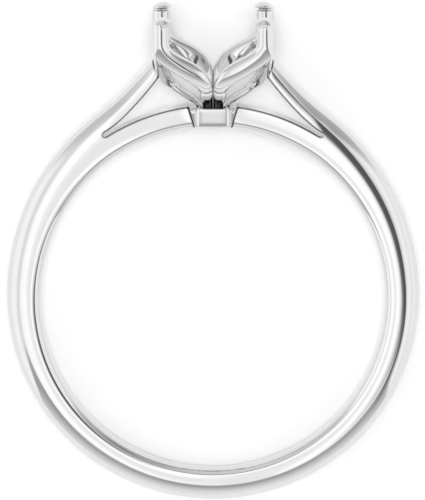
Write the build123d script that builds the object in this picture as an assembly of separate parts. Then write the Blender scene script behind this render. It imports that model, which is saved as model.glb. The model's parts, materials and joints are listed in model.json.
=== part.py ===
# A solitaire engagement ring mounting in polished white gold, made to take an
# oval stone, with no stone set. It lies on its side as it would by itself.
#
# The ring is drawn in its own plane first: X runs across the band, Y from the
# centre of the finger hole towards the head, and Z along the finger. The last
# step tips it onto the two lower claws and the edge of the band.

import os
from math import asin, atan2, cos, degrees, hypot, radians, sin

from build123d import *

# Finger hole and band, in millimetres
finger_hole_diameter = 17.3
band_width = 1.6
band_thickness_sides = 1.72
band_thickness_bottom = 1.62
band_dome_height = 0.70
comfort_rise = 0.30
comfort_run = 0.44

# Cathedral shoulders and bridge, whose middle is cut away for the cup
shoulder_rise = 2.46
arm_thickness = 0.97
arm_dome_height = 0.44
bridge_thickness = 1.15
bridge_end_angle = 4.5
slot_end_angle = 33.7
slot_end_radius = 0.10

# Oval stone that the head is made for, the claws' place on its outline, and
# the rise of its edge over the cup
stone_width = 7.0
stone_length = 9.0
stone_diagonal = 44.2
stone_rise = 4.33
girdle_thickness = 0.16

# Claws. A rise share is a share of the stone's rise over the cup.
claw_diameter = 0.88
claw_stone_overlap = 0.21
claw_foot_rise_share = 0.693
claw_tip_diameter = 0.98
claw_tip_overhang = 0.13

# Petal bars, which part below the claws and meet in pairs on each side
bar_top_rise_share = 0.75
bar_end_rise_share = 0.199
bar_end_width = 0.68
bar_pair_overlap = 0.04
tab_width = 1.24
tab_thickness = 0.26
tab_root_depth = 0.05
tab_foot_spread = 0.56

# Cup that stands in the bridge
cup_width = 1.76
cup_length = 3.0
cup_corner_radius = 0.36
cup_shoulder_width = 2.36
cup_shoulder_length = 2.24
cup_rim_drop = 0.10
cup_wall = 0.28
cup_recess_depth = 0.25
cup_finger_clearance = 0.07
seat_gap = 0.03

finger_hole_radius = finger_hole_diameter / 2
band_half_width = band_width / 2
band_outer_radius = finger_hole_radius + band_thickness_sides
band_lift = band_thickness_sides - band_thickness_bottom
bridge_radius = finger_hole_radius + bridge_thickness
claw_radius = claw_diameter / 2
cup_foot_height = finger_hole_radius + cup_finger_clearance
cup_rim_height = bridge_radius - cup_rim_drop
girdle_height = cup_rim_height + stone_rise
claw_foot_height = cup_rim_height + claw_foot_rise_share * stone_rise
bar_top_height = cup_rim_height + bar_top_rise_share * stone_rise
bar_end_height = cup_rim_height + bar_end_rise_share * stone_rise
tab_foot_height = cup_rim_height - cup_recess_depth - tab_root_depth

# The shoulder's outer ridge: degrees from the head, the share of the
# shoulder's rise over the band, and the share of the way that the dome's
# height has gone from the arm's to the band's.
SHOULDER = (
    (11.5, 1.000, 0.00),
    (15.0, 0.764, 0.00),
    (19.0, 0.557, 0.05),
    (24.5, 0.354, 0.15),
    (30.0, 0.248, 0.30),
    (40.0, 0.179, 0.60),
    (50.0, 0.124, 0.80),
    (62.0, 0.072, 0.93),
    (76.0, 0.019, 1.00),
    (90.0, 0.000, 1.00),
)
BAND_ANGLES = (108, 126, 144, 162)
ARM_ROWS = 4

# A petal bar from the claw down. Height is a share of the bar's. The inner
# and outer edges are shares of the way from the bar's end to the claw, and
# breadth is the share kept between them. Lean is the share of the way from
# the foot, and thickness is a share of the claw's.
BAR = (
    (1.000, 1.000, 1.000, 1.00, 1.000, 0.94),
    (0.841, 0.714, 0.954, 1.00, 1.000, 0.88),
    (0.707, 0.423, 0.842, 1.00, 0.990, 0.79),
    (0.531, 0.190, 0.600, 1.00, 0.970, 0.71),
    (0.351, 0.064, 0.320, 1.00, 0.925, 0.72),
    (0.218, 0.009, 0.117, 1.00, 0.850, 0.75),
    (0.113, 0.000, 0.017, 1.00, 0.755, 0.80),
    (0.060, 0.000, 0.000, 0.86, 0.680, 0.78),
    (0.025, 0.000, 0.000, 0.58, 0.620, 0.62),
    (0.004, 0.000, 0.000, 0.22, 0.585, 0.30),
)

# The thin tab below each pair of bars: the share of the height between the
# foot and the bars' end, and the share of the way left to the foot.
TAB = (
    (1.25, 0.760),
    (1.00, 0.585),
    (0.78, 0.370),
    (0.50, 0.159),
    (0.19, 0.020),
    (0.00, 0.000),
)


def polar(radius, angle):
    """Point at an angle from the head, on the +X side."""
    return (radius * sin(radians(angle)), radius * cos(radians(angle)))


def band_ridge(angle, rise_share=0.0):
    """Distance of the outer ridge from the finger's axis."""
    plain = band_outer_radius + band_lift * min(0.0, cos(radians(angle)))
    return plain + shoulder_rise * rise_share


def ridge_section(angle, ridge, dome):
    """D-shaped section of the shank in the plane through the finger's axis."""
    inner = finger_hole_radius - comfort_rise
    crease = ridge - dome
    low_inner = Vector(*polar(inner, angle), -band_half_width)
    low_crease = Vector(*polar(crease, angle), -band_half_width)
    top = Vector(*polar(ridge, angle), 0)
    high_crease = Vector(*polar(crease, angle), band_half_width)
    high_inner = Vector(*polar(inner, angle), band_half_width)
    return Face(Wire([
        Line(low_inner, low_crease),
        ThreePointArc(low_crease, top, high_crease),
        Line(high_crease, high_inner),
        Line(high_inner, low_inner),
    ]))


def shank_blank():
    """Band and shoulders before the finger hole and the slots are cut."""
    side = [(bridge_end_angle, band_ridge(bridge_end_angle, 1.0), arm_dome_height)]
    for angle, rise_share, dome_share in SHOULDER:
        dome = arm_dome_height + (band_dome_height - arm_dome_height) * dome_share
        side.append((angle, band_ridge(angle, rise_share), dome))
    for angle in BAND_ANGLES:
        side.append((angle, band_ridge(angle), band_dome_height))
    bottom = [(180, band_ridge(180), band_dome_height)]
    mirrored = [(360 - angle, ridge, dome) for angle, ridge, dome in reversed(side)]
    return loft([ridge_section(*row) for row in side + bottom + mirrored])


def finger_hole():
    """Cutter of the finger hole, with its comfort-fit edges."""
    wall = band_half_width - comfort_run
    flare = finger_hole_radius + comfort_rise
    beyond = 3 * band_width
    low_edge = TangentArc((finger_hole_radius, -wall), (flare, -band_half_width), tangent=(0, -1))
    high_edge = TangentArc((finger_hole_radius, wall), (flare, band_half_width), tangent=(0, 1))
    low_end = Polyline((0, -beyond), (flare, -beyond), (flare, -band_half_width))
    high_end = Polyline((flare, band_half_width), (flare, beyond), (0, beyond), (0, -beyond))
    straight = Line((finger_hole_radius, -wall), (finger_hole_radius, wall))
    outline = make_face(low_end.edges() + [low_edge, straight, high_edge] + high_end.edges())
    return revolve(Plane.XZ * outline, Axis.Z)


def slot():
    """Cutter of the space between the bridge and the two arms."""
    lower = polar(bridge_radius, slot_end_angle)
    upper = polar(bridge_radius + 2 * slot_end_radius, slot_end_angle)
    turn = slot_end_angle + degrees(slot_end_radius / bridge_radius)
    end = polar(bridge_radius + slot_end_radius, turn)
    under_arm = [upper]
    for angle, rise_share, dome_share in reversed(SHOULDER[:ARM_ROWS]):
        under_arm.append(polar(band_ridge(angle, rise_share) - arm_thickness, angle))
    arm_end = under_arm[-1]
    top = girdle_height + claw_tip_diameter
    bridge_top = polar(bridge_radius, 0)
    curves = [
        ThreePointArc(bridge_top, polar(bridge_radius, slot_end_angle / 2), lower),
        ThreePointArc(lower, end, upper),
        Spline(*under_arm),
    ]
    straight = Polyline(arm_end, (arm_end[0], top), (0, top), bridge_top)
    half = extrude(make_face(curves + straight.edges()), band_width, both=True)
    return half + mirror(half, Plane.YZ)


def claw_place():
    """Centre of a claw, across and along the finger, biting into the stone."""
    share = radians(stone_diagonal)
    edge = Vector(stone_width / 2 * sin(share), stone_length / 2 * cos(share))
    outward = Vector(sin(share) / stone_width, cos(share) / stone_length).normalized()
    return edge + outward * (claw_radius - claw_stone_overlap)


def bar_rows(across, depth):
    """Height, middle, breadth, depth and thickness at each row of a bar."""
    end_inner = -bar_pair_overlap / 2
    end_outer = bar_end_width + end_inner
    foot = tab_foot_spread * depth / claw_place().X
    rows = []
    for height_share, inner_share, outer_share, breadth, lean_share, thickness_share in BAR:
        inner = end_inner + inner_share * (across - claw_radius - end_inner)
        outer = end_outer + outer_share * (across + claw_radius - end_outer)
        rows.append((
            bar_end_height + height_share * (bar_top_height - bar_end_height),
            (inner + outer) / 2,
            breadth * (outer - inner),
            foot + lean_share * (depth - foot),
            thickness_share * claw_diameter,
        ))
    return rows


def petal_bar(across, depth):
    """Bar of level oval sections, on the +X and +Z side."""
    sections = []
    for height, middle, breadth, lean, thickness in bar_rows(across, depth):
        oval = Pos(middle, lean) * Ellipse(breadth / 2, thickness / 2)
        sections.append(Plane.XZ.offset(-height) * oval)
    return loft(sections)


def tab(depth):
    """Strip that carries a pair of bars down into the cup, on the +Z side."""
    foot = tab_foot_spread * depth / claw_place().X
    middle = []
    for height_share, lean_share in TAB:
        height = tab_foot_height + height_share * (bar_end_height - tab_foot_height)
        middle.append(Vector(foot + lean_share * (depth - foot), height))
    outer = []
    inner = []
    for index, point in enumerate(middle):
        along = middle[min(index + 1, len(middle) - 1)] - middle[max(index - 1, 0)]
        across = Vector(along.Y, -along.X).normalized() * (tab_thickness / 2)
        outer.append(point - across)
        inner.append(point + across)
    profile = make_face([
        Spline(*outer), Line(outer[-1], inner[-1]), Spline(*inner), Line(inner[0], outer[0])
    ])
    facing = Plane(origin=(0, 0, 0), x_dir=(0, 0, 1), z_dir=(-1, 0, 0))
    return extrude(facing * profile, tab_width / 2, both=True)


def claw():
    """Straight claw with a rounded tip that hangs over the stone's edge."""
    place = claw_place()
    shaft = Pos(place.X, claw_foot_height, place.Y) * Rot(-90, 0, 0) * Cylinder(
        claw_radius,
        girdle_height - claw_foot_height,
        align=(Align.CENTER, Align.CENTER, Align.MIN),
    )
    foot = Pos(place.X, claw_foot_height, place.Y) * Sphere(claw_radius)
    tip_radius = claw_tip_diameter / 2
    inward = -Vector(place.X, 0, place.Y).normalized()
    tip_centre = Vector(place.X, girdle_height, place.Y)
    tip_centre += inward * (claw_radius + claw_tip_overhang - tip_radius)
    tip = Pos(*tip_centre) * Rot(-90, 0, 0) * Sphere(
        tip_radius, arc_size1=0, align=(Align.CENTER, Align.CENTER, Align.MIN)
    )
    return shaft + foot + tip


def girdle():
    """Space of the stone's edge, cut into the claws below their tips."""
    outline = Pos(0, girdle_height, 0) * Rot(90, 0, 0) * Ellipse(stone_width / 2, stone_length / 2)
    return extrude(outline, girdle_thickness, dir=(0, -1, 0))


def cup_blank(grow=0.0):
    """Outer shape of the cup, or of its seat in the bridge when grown."""
    low = cup_foot_height if grow == 0 else finger_hole_radius - comfort_rise
    high = cup_rim_height if grow == 0 else bridge_radius + bridge_thickness
    level = Plane.XZ.offset(-low)
    core = level * RectangleRounded(
        cup_width + 2 * grow, cup_length + 2 * grow, cup_corner_radius + grow
    )
    flare = (cup_shoulder_width - cup_width) / (cup_rim_height - cup_foot_height)
    low_width = cup_width + flare * (low - cup_foot_height)
    high_width = cup_width + flare * (high - cup_foot_height)
    length = cup_shoulder_length + 2 * grow
    shoulder = loft([
        Plane.XZ.offset(-low) * Rectangle(low_width + 2 * grow, length),
        Plane.XZ.offset(-high) * Rectangle(high_width + 2 * grow, length),
    ])
    return extrude(core, high - low, dir=(0, 1, 0)) + shoulder


def cup():
    """Solid peg with a shallow recess in its top."""
    recess = Plane.XZ.offset(cup_recess_depth - cup_rim_height) * RectangleRounded(
        cup_width - 2 * cup_wall, cup_length - 2 * cup_wall, cup_corner_radius - cup_wall / 2
    )
    return cup_blank() - extrude(recess, cup_recess_depth, dir=(0, 1, 0))


def arm_end_trim():
    """Space of the head, which the arms' ends stop short of."""
    place = claw_place()
    outline = []
    for height, middle, breadth, lean, thickness in bar_rows(place.Y, place.X)[:7]:
        outline.append((lean + thickness / 2 + seat_gap, height))
    top = girdle_height + claw_tip_diameter
    outline = [(0, top), (outline[0][0], top)] + outline + [(outline[-1][0], bridge_radius)]
    half = extrude(make_face(Polyline(*outline, (0, bridge_radius), close=True)), band_width, both=True)
    return half + mirror(half, Plane.YZ)


def make_shank():
    return shank_blank() - cup_blank(seat_gap) - slot() - arm_end_trim() - finger_hole()


def make_head():
    place = claw_place()
    diagonal = Plane(origin=(0, 0, 0), z_dir=(1, 0, -1))
    whole = claw() + [
        petal_bar(place.X, place.Y),
        mirror(petal_bar(place.Y, place.X), diagonal),
        tab(place.Y),
        mirror(tab(place.X), diagonal),
        cup(),
    ]
    reach = 2 * stone_length
    quarter = whole & Pos(reach / 2, 0, reach / 2) * Box(reach, 2 * girdle_height + reach, reach)
    quarter -= girdle()
    half = quarter + mirror(quarter, Plane.YZ)
    return half + mirror(half, Plane.XY)


def rest_tilt():
    """Turn, in degrees, that lays the lower claws and the band's far edge on one level."""
    run = claw_foot_height + band_ridge(180) - band_dome_height
    rise = claw_place().Y - band_half_width
    return degrees(atan2(rise, run) + asin(claw_radius / hypot(rise, run)))


def rest_height():
    """Height of the finger hole's centre above the floor when the ring lies on it."""
    tilt = radians(rest_tilt())
    far_edge = band_ridge(180) - band_dome_height
    return far_edge * sin(tilt) + band_half_width * cos(tilt)


shank = Rot(rest_tilt(), 0, 0) * make_shank()
head = Rot(rest_tilt(), 0, 0) * make_head()
box = Compound([shank, head]).bounding_box()
place = Pos(0, -(box.min.Y + box.max.Y) / 2, rest_height())

os.makedirs("parts", exist_ok=True)
export_step(place * shank, "parts/shank.step")
export_step(place * head, "parts/head.step")
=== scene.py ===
# A solitaire engagement ring mounting in polished white gold, with no stone set, lying on its
# side: the shank with its cathedral shoulders and bridge, the petal head, the floor and the light.

import json
from math import cos, hypot, pi, radians, sin, sqrt, tan

import bmesh
import bpy
from mathutils import Matrix, Vector


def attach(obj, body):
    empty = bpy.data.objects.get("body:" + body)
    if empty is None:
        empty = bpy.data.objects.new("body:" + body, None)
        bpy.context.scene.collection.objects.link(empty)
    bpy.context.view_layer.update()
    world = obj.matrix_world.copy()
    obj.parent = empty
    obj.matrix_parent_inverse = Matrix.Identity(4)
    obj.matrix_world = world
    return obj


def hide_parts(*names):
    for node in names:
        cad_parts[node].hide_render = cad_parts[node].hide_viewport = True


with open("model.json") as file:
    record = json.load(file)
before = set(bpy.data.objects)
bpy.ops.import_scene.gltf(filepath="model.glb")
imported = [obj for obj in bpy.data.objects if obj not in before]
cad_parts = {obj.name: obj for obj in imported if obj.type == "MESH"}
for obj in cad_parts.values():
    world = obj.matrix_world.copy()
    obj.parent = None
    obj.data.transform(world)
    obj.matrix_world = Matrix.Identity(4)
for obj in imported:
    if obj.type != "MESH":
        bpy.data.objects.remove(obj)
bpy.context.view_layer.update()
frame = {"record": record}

# The shank is one casting in white gold: a band with a flat side and a domed back, two cathedral
# shoulders that climb from it to the head, and the bridge that goes on round the finger under
# them. It is cleaned up with files and rubber wheels, its slots sawn open, and then polished.
MM = 0.001

# The ring is drawn in its own plane, in mm, and laid down at the end. X runs across it, y from
# the hole's centre to the head, and z along the finger.
finger_hole = next(m for m in frame["record"]["mounts"] if m["name"] == "finger_hole")
hole_radius = finger_hole["dims"]["r_mm"]
finger_axis = Vector(finger_hole["axis"]).normalized()
across_axis = Vector((1, 0, 0))
head_axis = finger_axis.cross(across_axis)
ring_to_room = Matrix.Translation(finger_hole["pos_m"]) @ Matrix(
    (across_axis, head_axis, finger_axis)
).transposed().to_4x4() @ Matrix.Scale(MM, 4)
to_back = Vector((1, 1, -1))
in_plane = Vector((1, 1, 0))

half_width = 0.80
band_thickness = 1.72
bottom_thinning = 0.10
shoulder_rise = 2.46
comfort_flat = 0.35
comfort_curve = 0.4727
comfort_turns = (0, 17, 34, 51, 62, 67.6)
inner_edge = radians(6.5)
inner_ease = 0.24
shoulder_edge = radians(6)

# Degrees from the head, the ridge's share of the shoulder's rise, the dome's height in mm and
# the turn that the dome starts from at the side face: soft on the band, a crisp edge on the arms
band_turn, arm_turn = 7, 42
RIDGE = (
    (11.5, 1.000, 0.44, arm_turn), (15.0, 0.764, 0.44, arm_turn), (19.0, 0.557, 0.453, arm_turn),
    (24.5, 0.354, 0.479, 41), (30.0, 0.248, 0.518, 38), (40.0, 0.179, 0.596, 24),
    (50.0, 0.124, 0.648, 13), (62.0, 0.072, 0.682, 8), (76.0, 0.019, 0.70, band_turn),
    (90.0, 0.0, 0.70, band_turn), (180.0, 0.0, 0.70, band_turn),
)
arm_fullness = 0.6
dome_shares = (0, 0.06, 0.18, 0.33, 0.48, 0.65, 0.82)

bridge_thickness = 1.15
bridge_radius = hole_radius + bridge_thickness
bridge_end_angle = 7
arm_thickness = 0.97
arm_end_angle = 15
slot_angle = 33.7
slot_height = 0.20

# Where the side face has points: shares of its height, apart from the slot's two edges
low_side_shares = (0.07, 0.18, 0.32)
top_side_share = 0.96
arm_side_shares = (0.45, 0.93)
cut_shares = (0.225, 0.5, 0.775)


def smooth_between(table, column, at):
    """Value of a column at an angle, on a smooth curve through the table's rows."""
    rows = [table[0]] + list(table) + [table[-1]]
    last = len(table) - 1
    k = next((i for i in range(last) if at <= table[i + 1][0]), last - 1)
    before, low, high, after = (rows[k + i] for i in range(4))
    step = high[0] - low[0]
    share = (at - low[0]) / step
    slopes = []
    for a, b in ((before, high), (low, after)):
        slopes.append((b[column] - a[column]) / (b[0] - a[0]) * step)
    curve = (2 * share**3 - 3 * share**2 + 1, share**3 - 2 * share**2 + share,
             3 * share**2 - 2 * share**3, share**3 - share**2)
    parts = (low[column], slopes[0], high[column], slopes[1])
    return sum(c * p for c, p in zip(curve, parts))


def ridge_at(angle):
    """Distance of the outer ridge from the finger's axis, the dome's height and its first turn."""
    rise = smooth_between(RIDGE, 1, angle)
    thickness = band_thickness + bottom_thinning * min(0, cos(radians(angle)))
    ridge = hole_radius + thickness + shoulder_rise * rise
    return ridge, smooth_between(RIDGE, 2, angle), smooth_between(RIDGE, 3, angle)


def side_depth(radius, low, crease):
    """Half the width at a place on the side face, which eases over at both its edges."""
    start = (low + crease) / 2
    over = max(0.0, radius - start)
    under = max(0.0, low + inner_ease - radius)
    inner_loss = tan(inner_edge) * under**2 / (2 * inner_ease)
    return half_width - inner_loss - tan(shoulder_edge) * over**2 / (2 * (crease - start))


def inner_points():
    """Comfort-fit inside of the shank, from its middle to its edge, as radius and depth."""
    points = [(hole_radius, 0.0)]
    for turn in comfort_turns:
        points.append((
            hole_radius + comfort_curve * (1 - cos(radians(turn))),
            comfort_flat + comfort_curve * sin(radians(turn)),
        ))
    return points


def dome_points(ridge, dome, first_turn, edge_depth):
    """Domed back, from the side face's edge to the ridge. It is fuller on the arms."""
    first = radians(first_turn)
    fullness = 1 - (1 - arm_fullness) * (first_turn - band_turn) / (arm_turn - band_turn)
    wide = edge_depth / cos(first) ** fullness
    high = dome / (1 - sin(first))
    points = []
    for share in dome_shares:
        turn = first + share * (pi / 2 - first)
        points.append((ridge - high * (1 - sin(turn)), wide * cos(turn) ** fullness))
    return points + [(ridge, 0.0)]


def band_section(angle):
    """Half of the band's section, as radius and depth: its inside, its side face and its dome."""
    ridge, dome, first_turn = ridge_at(angle)
    crease = ridge - dome
    inner = inner_points()
    low = inner[-1][0]
    slot_ridge, slot_dome, _ = ridge_at(slot_angle)
    slot_crease = slot_ridge - slot_dome
    slot_shares = []
    for radius in (bridge_radius, bridge_radius + slot_height):
        slot_shares.append((radius - low) / (slot_crease - low))
    middle_share = (slot_shares[1] + 1) / 2
    side = []
    for share in (*low_side_shares, *slot_shares, middle_share, top_side_share):
        radius = low + share * (crease - low)
        side.append((radius, side_depth(radius, low, crease)))
    return inner + side + dome_points(ridge, dome, first_turn, side_depth(crease, low, crease))


bridge_index = 1 + len(comfort_turns) + len(low_side_shares)
arm_index = bridge_index + 1


def around(angle, radius, depth):
    """Place on the ring: degrees from the head, distance from the finger's axis, and depth."""
    return Vector((radius * sin(radians(angle)), radius * cos(radians(angle)), depth))


def cut_across(start, end):
    """Places on a line that cuts a section from side to side."""
    return [start.lerp(end, share) for share in cut_shares]


def band_places(angle):
    """Places of the band's whole section, and of the lines that cut off its bridge and its arm."""
    half = band_section(angle)
    back = [(radius, -depth) for radius, depth in reversed(half[1:-1])]
    ring = [around(angle, *point) for point in half + back]
    places = list(ring)
    for index in (bridge_index, arm_index):
        places += cut_across(ring[index], ring[-index])
    return places


def bridge_places(angle):
    """Places of the bridge's section: its front half, its back half and the line on top."""
    half = band_section(slot_angle)[:bridge_index] + [(bridge_radius, half_width)]
    half = [around(angle, *point) for point in half]
    back = [place * to_back for place in half[1:]]
    return half + back + cut_across(half[-1], back[-1])


def arm_places(angle):
    """Places of an arm's section: its front half, its back half and the line underneath."""
    ridge, dome, first_turn = ridge_at(angle)
    low = ridge - arm_thickness
    crease = ridge - dome
    half = [(low, half_width)]
    for share in arm_side_shares:
        radius = low + share * (crease - low)
        half.append((radius, side_depth(radius, low, crease)))
    half += dome_points(ridge, dome, first_turn, side_depth(crease, low, crease))
    half = [around(angle, *point) for point in half]
    back = [place * to_back for place in half[:-1]]
    return half + back + cut_across(half[0], back[0])


def pull_out(bm, faces, place):
    """Extrudes faces, moves each new vertex to where place says, and gives the new faces back."""
    edges = dict.fromkeys(edge for face in faces for edge in face.edges)
    made = bmesh.ops.extrude_face_region(bm, geom=faces + list(edges))["geom"]
    caps = [item for item in made if isinstance(item, bmesh.types.BMFace)]
    for vert in {vert for face in caps for vert in face.verts}:
        vert.co = place(vert.co.copy())
    return caps


def nearest_index(places, target):
    """Which of the places is nearest to the target."""
    return min(range(len(places)), key=lambda i: (places[i] - target).length_squared)


def follow(bm, faces, sections):
    """Extrudes faces from each section to the next. All list their places in the same order."""
    for here, there in zip(sections, sections[1:]):
        faces = pull_out(bm, faces, lambda home: there[nearest_index(here, home)])
    return faces


# Half of the band is drawn up from the foot to the slot. There the section parts into the bridge
# below, the slot's end and the arm above.
band_step = 6.5
even_stations = [180 - band_step * i for i in range(20)]
band_stations = even_stations + [50, 44.5, 39.5, 36, slot_angle]
shank_mesh = bmesh.new()
verts = [shank_mesh.verts.new(place) for place in band_places(180)]
count = len(verts) - 2 * len(cut_shares)
bridge_line = verts[count : count + len(cut_shares)]
arm_line = verts[count + len(cut_shares) :]
ring = verts[:count]
bridge_start = shank_mesh.faces.new(ring[: bridge_index + 1] + bridge_line + ring[-bridge_index:])
slot_start = shank_mesh.faces.new([
    ring[bridge_index], ring[arm_index], *arm_line, ring[-arm_index], ring[-bridge_index],
    *reversed(bridge_line),
])
arm_start = shank_mesh.faces.new(ring[arm_index : count - arm_index + 1] + arm_line[::-1])
starts = [bridge_start, slot_start, arm_start]
ends = follow(shank_mesh, starts, [band_places(angle) for angle in band_stations])
bmesh.ops.delete(shank_mesh, geom=starts, context="FACES")
ends.sort(key=lambda face: face.calc_center_median().length)

# The bridge goes on at one thickness, up to the slanted flank of the cup that stands in it.
cup_half_width = 0.88
finger_clearance = 0.07
cup_foot = hole_radius + finger_clearance
cup_rise = 0.98
cup_flare = 0.30 / cup_rise
seat_gap = 0.03
bridge_stations = (slot_angle, 28, 22.5, 17, 12)


def to_cup_flank(place):
    """The place moved round the ring to the cup's flank, which a few steps come close to."""
    radius = hypot(place.x, place.y)
    height = radius
    for _ in range(4):
        out = cup_half_width + seat_gap + cup_flare * (height - cup_foot)
        height = sqrt(radius**2 - out**2)
    return Vector((out, height, place.z))


sections = [bridge_places(angle) for angle in bridge_stations]
sections.append([to_cup_flank(place) for place in bridge_places(bridge_end_angle)])
follow(shank_mesh, [ends[0]], sections)

# The arm climbs to the head, and its end follows the outside of the side petals.
arm_end_low = Vector((2.70, 11.19))
arm_end_high = Vector((2.955, 12.09))
arm_end_bow = 0.10
arm_stations = (slot_angle, 30.5, 27, 23.5, 20.5, 18, 15.8)


def to_petal(place):
    """The place on the arm's end, by its share of the arm's thickness."""
    low = ridge_at(arm_end_angle)[0] - arm_thickness
    share = (hypot(place.x, place.y) - low) / arm_thickness
    spot = arm_end_low.lerp(arm_end_high, share)
    return Vector((spot.x + arm_end_bow * share * (1 - share), spot.y, place.z))


sections = [arm_places(angle) for angle in arm_stations]
sections.append([to_petal(place) for place in arm_places(arm_end_angle)])
follow(shank_mesh, [ends[-1]], sections)

# The slot's end is round, and every sharp edge is just broken.
sharp_turn = radians(40)
slot_end_round = 0.08
broken_edge = 0.035
merge_distance = 1e-4


def round_edges(bm, edges, offset, segments):
    """Bevels the edges, as far from each as the offset says."""
    bmesh.ops.bevel(bm, geom=edges, offset=offset, offset_type="OFFSET", segments=segments,
                    profile=0.5, affect="EDGES", material=-1, clamp_overlap=True)


def runs_through(edge, corner):
    """Whether the edge runs along the finger through a corner in the ring's plane."""
    return all((v.co * in_plane - corner).length < merge_distance for v in edge.verts)


corners = [around(slot_angle, bridge_radius + rise, 0) for rise in (0, slot_height)]
sharp = [edge for edge in shank_mesh.edges if edge.calc_face_angle(0) > sharp_turn]
slot_end = [edge for edge in sharp if any(runs_through(edge, corner) for corner in corners)]
round_edges(shank_mesh, slot_end, slot_end_round, segments=3)
sharp = [edge for edge in shank_mesh.edges if edge.calc_face_angle(0) > sharp_turn]
round_edges(shank_mesh, sharp, broken_edge, segments=2)


def everything(bm):
    """All that a mirror needs to copy."""
    return bm.verts[:] + bm.edges[:] + bm.faces[:]


bmesh.ops.mirror(shank_mesh, geom=everything(shank_mesh), axis="X", merge_dist=merge_distance)
bmesh.ops.remove_doubles(shank_mesh, verts=shank_mesh.verts, dist=merge_distance)


def finished(bm, name):
    """A new object from the bmesh, laid down in the room, with its surface subdivided."""
    bmesh.ops.recalc_face_normals(bm, faces=bm.faces)
    for face in bm.faces:
        face.smooth = True
    bmesh.ops.transform(bm, matrix=ring_to_room, verts=bm.verts)
    data = bpy.data.meshes.new(name)
    bm.to_mesh(data)
    bm.free()
    piece = bpy.data.objects.new(name, data)
    bpy.context.scene.collection.objects.link(piece)
    smooth = piece.modifiers.new("smooth", "SUBSURF")
    smooth.levels = smooth.render_levels = 2
    return piece


shank = finished(shank_mesh, "shank_polished")


def linear(hex_colour):
    """A colour written in sRGB hex, as the linear values that the shader takes."""
    parts = [int(hex_colour[i : i + 2], 16) / 255 for i in (1, 3, 5)]
    return [p / 12.92 if p <= 0.04045 else ((p + 0.055) / 1.055) ** 2.4 for p in parts] + [1]


def add_node(tree, kind, links=(), **settings):
    """A node with its settings. Each input gets another node's output, or a value."""
    node = tree.nodes.new(kind)
    for key, value in settings.items():
        setattr(node, key, value)
    for source, socket in links:
        if isinstance(source, bpy.types.NodeSocket):
            tree.links.new(source, node.inputs[socket])
        else:
            node.inputs[socket].default_value = source
    return node


# White gold, cast, plated with rhodium and polished to a mirror: bright and nearly neutral, with
# a faint haze in patches about a millimetre across, from the polishing mop. Narrow recesses get
# painted shade: where ambient occlusion finds them, the colour is darkened to a near black. Along a
# crisp edge, which mirrors the whole room in a line as thin as a hair, a painted reflection is
# drawn: a dark line about a tenth of a millimetre wide, so that it shows.
haze_patch = 1.11
recess_shade_reach = 0.22
edge_line_reach = 0.14
white_gold = bpy.data.materials.new("white_gold_mirror_polish")
white_gold.use_nodes = True
tree = white_gold.node_tree
gold = tree.nodes["Principled BSDF"]
gold.inputs["Metallic"].default_value = 1.0
place = add_node(tree, "ShaderNodeTexCoord").outputs["Object"]
haze = add_node(tree, "ShaderNodeTexNoise", [
    (place, "Vector"), (1 / (haze_patch * MM), "Scale"), (3.0, "Detail")])
shine = add_node(tree, "ShaderNodeMapRange", [
    (haze.outputs["Fac"], "Value"), (0.35, "From Min"), (0.65, "From Max"),
    (0.03, "To Min"), (0.06, "To Max")])
tree.links.new(shine.outputs["Result"], gold.inputs["Roughness"])
tone = add_node(tree, "ShaderNodeMix", [
    (haze.outputs["Fac"], "Factor"), (linear("#D9D9D9"), "A"), (linear("#DDDDDD"), "B")],
    data_type="RGBA")
# Painted shade in narrow recesses: ambient occlusion within this reach darkens the colour.
recess = add_node(tree, "ShaderNodeAmbientOcclusion", [(recess_shade_reach * MM, "Distance")],
                  samples=12)
free_of_recess_shade = add_node(tree, "ShaderNodeMapRange", [
    (recess.outputs["AO"], "Value"), (0.20, "From Min"), (0.55, "From Max")])
# Painted reflection: occlusion inside the metal finds crisp edges, and a dark line is painted along
# them.
crisp = add_node(tree, "ShaderNodeAmbientOcclusion", [(edge_line_reach * MM, "Distance")],
                 samples=16, inside=True, only_local=True)
free_of_edge_line = add_node(tree, "ShaderNodeMapRange", [
    (crisp.outputs["AO"], "Value"), (0.70, "From Min"), (0.94, "From Max")])
# Where either mask is low, the colour goes to a near black: painted shade in recesses and a painted
# dark line along crisp edges.
polished_and_painted_dark = add_node(tree, "ShaderNodeMath", [
    (free_of_recess_shade.outputs["Result"], 0), (free_of_edge_line.outputs["Result"], 1)], operation="MULTIPLY")
tone_with_painted_dark = add_node(tree, "ShaderNodeMix", [
    (polished_and_painted_dark.outputs[0], "Factor"), (linear("#1C1C1C"), "A"), (tone.outputs["Result"], "B")],
    data_type="RGBA")
tree.links.new(tone_with_painted_dark.outputs["Result"], gold.inputs["Base Color"])

shank.data.materials.append(white_gold)
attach(shank, "root")
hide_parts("shank")

# The head is a second casting in the same white gold, soldered into the bridge: a cup, eight
# petal bars in four pairs and four claws, each of which parts into two of the bars. The claws'
# tips are left long and domed, with the seat for the stone's edge already cut below them.
claw_place = Vector((2.6197, 3.3698))
inward = -claw_place.normalized()
claw_radius = 0.438
claw_sides = 12
claw_heights = (13.9, 13.4)
seat_low = 14.08
seat_high = 14.20
neck_height = seat_low - 0.04
neck_radius = 0.43
neck_shift = 0.005
bar_sides = 8
bar_top = 12.95
bar_end = 10.56
bar_end_width = 0.68
foot_share = 0.56

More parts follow.
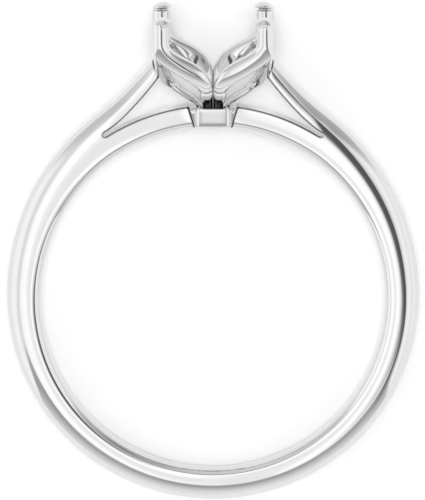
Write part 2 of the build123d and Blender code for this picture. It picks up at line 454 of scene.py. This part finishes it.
# Height share, inner and outer edge, breadth kept, lean and thickness, as shares, and how far
# the crown of the bar's outer face lies towards the claw, in mm. The first row is where the
# claw parts.
PETAL = (
    (0.841, 0.714, 0.954, 1.00, 1.000, 0.88, 0.12),
    (0.707, 0.423, 0.842, 1.00, 1.000, 0.79, 0.22), (0.620, 0.290, 0.730, 1.00, 0.998, 0.74, 0.20),
    (0.531, 0.190, 0.600, 1.00, 0.993, 0.71, 0.09), (0.440, 0.120, 0.460, 1.00, 0.980, 0.71, 0.02),
    (0.351, 0.064, 0.320, 1.00, 0.955, 0.72, 0.00), (0.280, 0.030, 0.210, 1.00, 0.922, 0.735, 0.00),
    (0.218, 0.009, 0.117, 1.00, 0.880, 0.75, 0.00), (0.160, 0.003, 0.055, 1.00, 0.825, 0.78, 0.00),
    (0.113, 0.000, 0.017, 1.00, 0.772, 0.80, 0.00), (0.060, 0.000, 0.000, 0.90, 0.695, 0.80, 0.00),
    (0.020, 0.000, 0.000, 0.66, 0.630, 0.70, 0.00), (0.000, 0.000, 0.000, 0.30, 0.600, 0.36, 0.00),
)


def standoff(sides):
    """How far outside the smooth surface a ring of the cage stands, as a ratio."""
    return 6 / (4 + 2 * cos(2 * pi / sides))


def bar_places(row, front):
    """Eight places round a petal bar's level section, from its outer end."""
    across, depth = claw_place if front else claw_place.yx
    height_share, inner_share, outer_share, breadth, lean_share, thickness_share, crown = row
    inner = inner_share * (across - claw_radius)
    outer = bar_end_width + outer_share * (across + claw_radius - bar_end_width)
    long_half = breadth * (outer - inner) / 2 * standoff(bar_sides)
    short_half = thickness_share * claw_radius * standoff(bar_sides)
    foot = foot_share * depth / claw_place.x
    lean = foot + lean_share * (depth - foot)
    height = bar_end + height_share * (bar_top - bar_end)
    points = []
    for k in range(bar_sides):
        turn = 2 * pi * k / bar_sides
        wide = (inner + outer) / 2 + long_half * cos(turn) + crown * max(0.0, sin(turn))
        thick = lean + short_half * sin(turn)
        points.append(Vector((wide, height, thick) if front else (thick, height, wide)))
    return points


def claw_ring(height, radius, shift=0.0, tilt=0.0):
    """Twelve places round a claw, the first one outwards on the diagonal."""
    points = []
    for k in range(claw_sides):
        turn = pi / 4 + 2 * pi * k / claw_sides
        out = Vector((cos(turn), sin(turn)))
        spot = claw_place + shift * inward + radius * standoff(claw_sides) * out
        points.append(Vector((spot.x, height + tilt * out.dot(inward), spot.y)))
    return points


def face_on(bm, places):
    """The first section of a form, as a face with a new vertex at each place."""
    return bm.faces.new([bm.verts.new(place) for place in places])


# Each claw runs down from its neck and parts into a front bar and a side bar, with a crotch
# between them.
head_mesh = bmesh.new()
neck = claw_ring(neck_height, neck_radius, neck_shift)
neck_face = face_on(head_mesh, neck)
front_top = bar_places(PETAL[0], True)
side_top = bar_places(PETAL[0], False)
parting = claw_ring(front_top[0].y, claw_radius)
inner_corner = claw_sides // 2
for k in range(1, inner_corner):
    parting[k] = front_top[k]
    parting[claw_sides - k] = side_top[k]
parting[inner_corner] = (front_top[inner_corner] + side_top[inner_corner]) / 2
sections = [claw_ring(height, claw_radius) for height in (*claw_heights, bar_top)]
bottom = follow(head_mesh, [neck_face], [neck, *sections, parting])[0]
ordered = sorted(bottom.verts, key=lambda vert: nearest_index(parting, vert.co))
bmesh.ops.delete(head_mesh, geom=[bottom], context="FACES")
crotch = head_mesh.verts.new((parting[0] + parting[inner_corner]) / 2)
front_face = head_mesh.faces.new(ordered[: inner_corner + 1] + [crotch])
side_face = head_mesh.faces.new([ordered[0], crotch] + ordered[inner_corner:])
for front, face in ((True, front_face), (False, side_face)):
    step = 1 if front else -1
    start = [parting[(step * k) % claw_sides] for k in range(inner_corner + 1)]
    start.append(crotch.co.copy())
    follow(head_mesh, [face], [start] + [bar_places(row, front) for row in PETAL[1:]])

# The claw's tip: its outer side runs straight up into a dome that hooks over the stone's edge,
# and the seat is a slit cut into the inner side only. Height, radius, shift inwards and tilt
TIP = (
    (seat_low, 0.43, 0.01, 0.0), (seat_low + 0.01, 0.365, -0.06, 0.0),
    (seat_high - 0.01, 0.36, -0.06, 0.0), (seat_high, 0.435, 0.038, 0.02),
    (seat_high + 0.03, 0.482, 0.098, 0.06), (seat_high + 0.08, 0.46, 0.10, 0.07),
    (seat_high + 0.15, 0.395, 0.095, 0.06), (seat_high + 0.22, 0.31, 0.09, 0.045),
    (seat_high + 0.28, 0.20, 0.085, 0.03), (seat_high + 0.305, 0.09, 0.085, 0.01),
)
follow(head_mesh, [neck_face], [neck] + [claw_ring(*row) for row in TIP])

# The tab below each bar runs down into the cup. Share of its height, lean and outer edge
TAB = (
    (1.30, 0.760, 0.58), (1.12, 0.675, 0.64), (0.95, 0.565, 0.66), (0.78, 0.420, 0.65),
    (0.60, 0.250, 0.60), (0.42, 0.120, 0.54), (0.22, 0.030, 0.50), (0.00, 0.000, 0.48),
)
# Its outline, as shares of half its width and of half its thickness
TAB_OUTLINE = (
    (1, 0.45), (0.72, 1), (-0.72, 1), (-1, 0.45), (-1, -0.45), (-0.72, -1), (0.72, -1), (1, -0.45),
)
tab_inner = 0.02
tab_half_thickness = 0.165
tab_standoff = 1.06
tab_foot = 9.45
for front in (True, False):
    depth = claw_place.y if front else claw_place.x
    foot = foot_share * depth / claw_place.x
    middle = [Vector((foot + lean * (depth - foot), tab_foot + share * (bar_end - tab_foot)))
              for share, lean, _ in TAB]
    sections = []
    for index, (_, _, outer) in enumerate(TAB):
        along = middle[min(index + 1, len(middle) - 1)] - middle[max(index - 1, 0)]
        thick = Vector((-along.y, along.x)).normalized() * tab_half_thickness
        half = (outer - tab_inner) / 2 * tab_standoff
        places = []
        for wide_share, thick_share in TAB_OUTLINE:
            spot = middle[index] + thick * thick_share
            wide = (outer + tab_inner) / 2 + half * wide_share
            places.append(Vector((wide, spot.y, spot.x) if front else (spot.x, spot.y, wide)))
        sections.append(places)
    follow(head_mesh, [face_on(head_mesh, sections[0])], sections)

for axis in ("X", "Z"):
    bmesh.ops.mirror(head_mesh, geom=everything(head_mesh), axis=axis, merge_dist=-1)

# The cup is a peg with rounded corners and a recess in its top. Rise over its foot, and how far
# it stands in from its half width and from its half length
cup_half_length = 1.5
cup_corner = 0.27
cup_wall = 0.28
cup_recess = 0.25
flank_low, flank_high = 0.11, 0.94
CUP = (
    (0, 0.10, 0.1686), (0.03, 0.03, 0.0986), (flank_low, 0, 0.0686), (0.22, 0, 0.05948),
    (0.88, 0, 0.00494), (flank_high, 0, 0), (0.97, 0.015, 0.013), (cup_rise, 0.05, 0.05),
    (cup_rise, 0.26, 0.26), (cup_rise - 0.05, cup_wall, cup_wall),
    (cup_rise - cup_recess, cup_wall, cup_wall),
)
corner_turns = (0, 15, 35, 55, 75, 90)


def cup_places(rise, side_inset, end_inset):
    """Level outline of the cup, from the right round the front, with rounded corners."""
    points = []
    for right, front in ((1, 1), (-1, 1), (-1, -1), (1, -1)):
        for turn in corner_turns if right == front else reversed(corner_turns):
            side_cut = side_inset + cup_corner * (1 - cos(radians(turn)))
            end_cut = end_inset + cup_corner * (1 - sin(radians(turn)))
            points.append(Vector((
                right * (cup_half_width - side_cut), cup_foot + rise,
                front * (cup_half_length - end_cut),
            )))
    return points


sections = [cup_places(*row) for row in CUP]
follow(head_mesh, [face_on(head_mesh, sections[0])], sections)

# Its two flanks flare out to where the bridge is soldered to them, with broken edges.
on_flank = 1e-3
least_flare = 0.02
flare_break = 0.03
flanks = {1: [], -1: []}
for face in head_mesh.faces:
    middle = face.calc_center_median()
    on_side = abs(abs(middle.x) - cup_half_width) < on_flank and abs(middle.z) < on_flank
    if on_side and flank_low < middle.y - cup_foot < flank_high:
        flanks[1 if middle.x > 0 else -1].append(face)
for side, flank in flanks.items():
    pull_out(head_mesh, flank, lambda home: home + Vector(
        (side * cup_flare * (home.y - cup_foot), 0, 0)))
flare_edges = []
for edge in head_mesh.edges:
    flared = all(abs(v.co.x) > cup_half_width + least_flare for v in edge.verts)
    in_cup = all(v.co.y < cup_foot + cup_rise for v in edge.verts)
    if flared and in_cup and all(abs(v.co.z) < cup_half_length for v in edge.verts):
        flare_edges.append(edge)
round_edges(head_mesh, flare_edges, flare_break, segments=2)
head = finished(head_mesh, "head_polished")

# The same metal and polish, with the same painted shade in recesses but without the painted dark
# line along its edges: the bars and the tabs run into each other, and the material would draw that
# line where they overlap, too.
head_gold = white_gold.copy()
head_gold.name = "white_gold_casting_polish"
head_gold.node_tree.nodes[free_of_edge_line.name].inputs["To Min"].default_value = 1.0
head.data.materials.append(head_gold)
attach(head, "root")
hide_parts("head")

# The table that the ring lies on: a smooth board painted matt white, much larger than the view.
# The paint is even to the eye, with only a trace of mottling, a few millimetres across.
board_half = 0.6
mottle = 2.5
floor_mesh = bmesh.new()
bmesh.ops.create_grid(floor_mesh, x_segments=2, y_segments=2, size=board_half)
floor_data = bpy.data.meshes.new("white_board")
floor_mesh.to_mesh(floor_data)
floor_mesh.free()
floor = bpy.data.objects.new("white_board", floor_data)
bpy.context.scene.collection.objects.link(floor)
board = bpy.data.materials.new("matt_white_board")
board.use_nodes = True
tree = board.node_tree
paint = tree.nodes["Principled BSDF"]
paint.inputs["Roughness"].default_value = 0.9
paint.inputs["Specular IOR Level"].default_value = 0.2
place = add_node(tree, "ShaderNodeTexCoord").outputs["Object"]
grain = add_node(tree, "ShaderNodeTexNoise", [(place, "Vector"), (1 / (mottle * MM), "Scale")])
tone = add_node(tree, "ShaderNodeMix", [
    (grain.outputs["Fac"], "Factor"), (linear("#FBFBFB"), "A"), (linear("#FEFEFE"), "B")],
    data_type="RGBA")
tree.links.new(tone.outputs["Result"], paint.inputs["Base Color"])
floor.data.materials.append(board)

# The light is a white tent: bright walls left and right, greyer ones at the head and the foot, a
# softbox overhead that leans to the foot, and three dark cards, whose reflections draw the ring's
# dark lines. Its sky is mapped in degrees from straight overhead, to the right and to the foot.
tent_strength = 1.41
screen_gamma = 2.2
world = bpy.data.worlds.new("light_tent")
bpy.context.scene.world = world
world.use_nodes = True
tree = world.node_tree
sky = tree.nodes["Background"]
direction = add_node(tree, "ShaderNodeTexCoord").outputs["Generated"]
upward = add_node(tree, "ShaderNodeSeparateXYZ", [(direction, 0)]).outputs["Z"]
tilt = add_node(tree, "ShaderNodeMath", [(upward, 0)], operation="ARCCOSINE").outputs[0]
overhead = add_node(tree, "ShaderNodeMath", [(tilt, 0)], operation="DEGREES").outputs[0]
to_foot = -1
level = add_node(tree, "ShaderNodeVectorMath", [(direction, 0), ((1, to_foot, 0), 1)],
                 operation="MULTIPLY").outputs[0]
level = add_node(tree, "ShaderNodeVectorMath", [(level, 0)], operation="NORMALIZE").outputs[0]
on_map = add_node(tree, "ShaderNodeVectorMath", [(level, 0), (overhead, "Scale")],
                  operation="SCALE").outputs[0]
split = add_node(tree, "ShaderNodeSeparateXYZ", [(on_map, 0)])
right, foot = split.outputs["X"], split.outputs["Y"]
turned = add_node(tree, "ShaderNodeMath", [(foot, 0), (right, 1)], operation="ARCTAN2").outputs[0]
heading = add_node(tree, "ShaderNodeMath", [(turned, 0)], operation="DEGREES").outputs[0]
measures = {"right": right, "foot": foot, "heading": heading}

# Distances past an edge of one or more straight runs, each with its weights of right and foot
# and what is added. The smallest counts.
RUNS = (
    ("foot_wall_edge", ((0, 1, 0), (0.85, 1, 28.05), (-0.65, 1, 15.6))),
    ("softbox_edge", ((1, 0, 0), (1, -0.3, 4.38))),
    ("long_card_line", ((-0.656, 0.754, -1.4703),)),
)
with_one = add_node(tree, "ShaderNodeVectorMath", [(on_map, 0), ((0, 0, 1), 1)]).outputs[0]
for name, runs in RUNS:
    distances = [
        add_node(tree, "ShaderNodeVectorMath", [(with_one, 0), (run, 1)],
                 operation="DOT_PRODUCT").outputs["Value"] for run in runs
    ]
    smallest = distances[0]
    for distance in distances[1:]:
        smallest = add_node(tree, "ShaderNodeMath", [(smallest, 0), (distance, 1)],
                            operation="MINIMUM").outputs[0]
    measures[name] = smallest

# Distances from a round patch's centre, as shares of its half sizes
PATCHES = (
    ("from_softbox", (0.5, 16.8), (11, 8)), ("from_head_card", (0, -22.5), (28, 6.5)),
    ("from_small_card", (37, -44), (10, 10)),
)
for name, centre, half_sizes in PATCHES:
    offset = add_node(tree, "ShaderNodeVectorMath", [(on_map, 0), ((*centre, 0), 1)],
                      operation="SUBTRACT").outputs[0]
    shares = add_node(tree, "ShaderNodeVectorMath", [(offset, 0), ((*half_sizes, 1), 1)],
                      operation="DIVIDE").outputs[0]
    measures[name] = add_node(tree, "ShaderNodeVectorMath", [(shares, 0)],
                              operation="LENGTH").outputs["Value"]

# Tones along each measure, as places and tones. Where the tone is a share, 1 is all there.
TONES = (
    ("side_walls", "right", (
        (-90, 0.94), (-60, 0.95), (-50, 0.93), (-42, 0.87), (-34, 0.83), (-26, 0.89),
        (-14, 0.95), (-8, 1), (5, 1), (22, 0.75), (32, 0.89), (44, 0.94), (62, 0.89),
        (74, 0.895), (90, 0.95))),
    ("head_wall", "right", (
        (-90, 0.86), (-68, 0.77), (-45, 0.75), (-25, 0.79), (0, 0.78), (12, 0.74), (24, 0.63),
        (42, 0.63), (60, 0.69), (75, 0.80), (90, 0.86))),
    ("head_wall_share", "heading", (
        (-180, 0), (-158, 0), (-143, 1), (-34, 1), (-22, 0), (180, 0))),
    ("foot_wall", "foot", (
        (0, 0.62), (24, 0.62), (34, 0.61), (45, 0.70), (57, 0.78), (74, 0.855), (90, 0.87))),
    ("foot_wall_share", "foot_wall_edge", ((0, 0), (22, 0), (26.5, 1), (90, 1))),
    ("softbox", "softbox_edge", (
        (-12, 0.97), (-5, 1), (-3, 0.94), (-1, 0.90), (-0.35, 0.90), (0.35, 1), (1.8, 1),
        (3, 0.92), (5, 0.85), (7, 0.74), (9, 0.60), (12, 0.40))),
    ("softbox_share", "from_softbox", ((0, 1), (0.92, 1), (1.06, 0), (2, 0))),
    ("long_card_width", "long_card_line", (
        (-10, 0), (-6.5, 0), (-3, 1), (3, 1), (7.5, 0), (10, 0))),
    ("long_card_length", "right", ((0, 0), (2, 0), (6, 1), (18, 1), (34, 0.2), (45, 0))),
    ("head_card_share", "from_head_card", ((0, 1), (0.85, 1), (1.15, 0), (2, 0))),
    ("small_card_share", "from_small_card", ((0, 1), (0.4, 1), (1.2, 0), (2, 0))),
)
tones = {}
for name, measure, stops in TONES:
    low, high = stops[0][0], stops[-1][0]
    along = add_node(tree, "ShaderNodeMapRange", [
        (measures[measure], "Value"), (low, "From Min"), (high, "From Max")])
    ramp = add_node(tree, "ShaderNodeValToRGB", [(along.outputs["Result"], "Fac")])
    ramp.color_ramp.interpolation = "EASE"
    points = ramp.color_ramp.elements
    for index, (at, tone) in enumerate(stops):
        stop = points[index] if index < 2 else points.new(1.0)
        stop.position = (at - low) / (high - low)
        stop.color = (tone, tone, tone, 1)
    tones[name] = ramp.outputs["Color"]
long_card_share = add_node(tree, "ShaderNodeMath", [
    (tones["long_card_width"], 0), (tones["long_card_length"], 1)], operation="MULTIPLY")

# Each layer hides what is behind it by its share. The cards are plain dark greys. The tones are
# given as they look on a screen, and a gamma turns them linear.
LAYERS = (
    (tones["head_wall_share"], tones["head_wall"]),
    (tones["foot_wall_share"], tones["foot_wall"]),
    (tones["softbox_share"], tones["softbox"]),
    (long_card_share.outputs[0], (0.33, 0.33, 0.33, 1)),
    (tones["head_card_share"], (0.35, 0.35, 0.35, 1)),
    (tones["small_card_share"], (0.46, 0.46, 0.46, 1)),
)
seen = tones["side_walls"]
for share, layer in LAYERS:
    seen = add_node(tree, "ShaderNodeMix", [(share, "Factor"), (seen, "A"), (layer, "B")],
                    data_type="RGBA").outputs["Result"]
bright = add_node(tree, "ShaderNodeGamma", [(seen, "Color"), (screen_gamma, "Gamma")])
tree.links.new(bright.outputs["Color"], sky.inputs["Color"])
sky.inputs["Strength"].default_value = tent_strength

# One wide lamp overhead brightens the board, and the polished metal doesn't mirror it.
lamp_data = bpy.data.lights.new("overhead_lamp", "SUN")
lamp_data.energy = 1.0
lamp_data.angle = radians(12)
lamp = bpy.data.objects.new("overhead_lamp", lamp_data)
lamp.visible_glossy = False
bpy.context.scene.collection.objects.link(lamp)

# The camera looks down the finger's axis from a little on the head's side, with a long lens. It
# is far enough away for the picture's scale, with the hole's centre at its pixel in the frame.
view_lift = radians(8)
photo_height = 500
photo_centre = (212.5, 250)
hole_pixel = (213, 296.86)
pixels_per_mm = 19.93
pixel = MM / pixels_per_mm
camera_data = bpy.data.cameras.new("camera")
camera_data.lens = 900
camera_data.sensor_fit = "VERTICAL"
camera_data.sensor_height = 36
camera_data.clip_end = 10
camera = bpy.data.objects.new("camera", camera_data)
bpy.context.scene.collection.objects.link(camera)
toward = (finger_axis * cos(view_lift) + head_axis * sin(view_lift)).normalized()
up = toward.cross(across_axis)
aim = Vector(finger_hole["pos_m"])
aim += across_axis * (photo_centre[0] - hole_pixel[0]) * pixel
aim += up * (hole_pixel[1] - photo_centre[1]) * pixel
distance = camera_data.lens * photo_height * pixel / camera_data.sensor_height
camera.location = aim + toward * distance
camera.rotation_euler = Matrix((across_axis, up, toward)).transposed().to_euler()
bpy.context.scene.camera = camera

# The picture shows the light's tones as they are, with no film look.
bpy.context.scene.view_settings.view_transform = "Standard"
